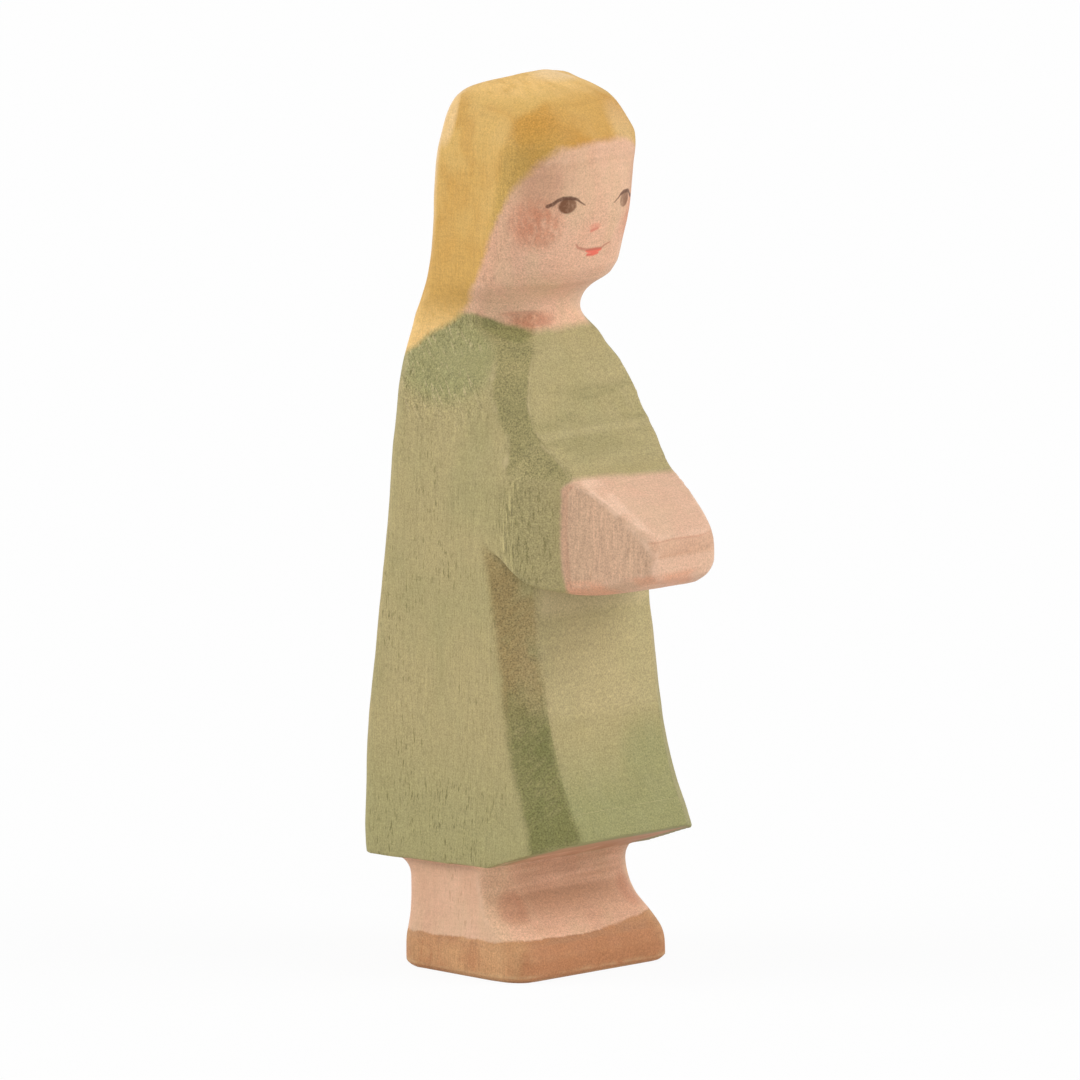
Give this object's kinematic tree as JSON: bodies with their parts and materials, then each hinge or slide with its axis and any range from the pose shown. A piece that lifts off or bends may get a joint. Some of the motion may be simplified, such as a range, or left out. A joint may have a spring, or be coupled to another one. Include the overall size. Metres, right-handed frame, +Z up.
{
  "type": "wooden toy figure",
  "caption": "Small standing wooden figure of a child with long fair hair, a plain green dress and both arms held out in front, carved in one piece and painted.",
  "frame": {"origin": "on the floor, below the middle of the figure's bounding box", "axes": "+Z up through the crown, -Y the way the figure faces, +X to the figure's own left"},
  "size_m": [0.0224, 0.0346, 0.0882],
  "materials": {
    "hair_paint": "thin matt golden-yellow stain on fine pale wood",
    "skin_paint": "thin matt pink stain on fine pale wood, with a small painted face",
    "dress_paint": "thin matt sage-green stain on fine pale wood",
    "hand_paint": "thin matt pink stain on fine pale wood",
    "leg_paint": "thin matt pink stain on fine pale wood, a little darker than the hands",
    "shoe_paint": "thin matt brown stain on fine pale wood"
  },
  "bodies": {
    "root": {"hair": "hair_paint", "head": "skin_paint", "dress": "dress_paint", "hands": "hand_paint", "legs": "leg_paint", "shoes": "shoe_paint"}
  },
  "joints": []
}
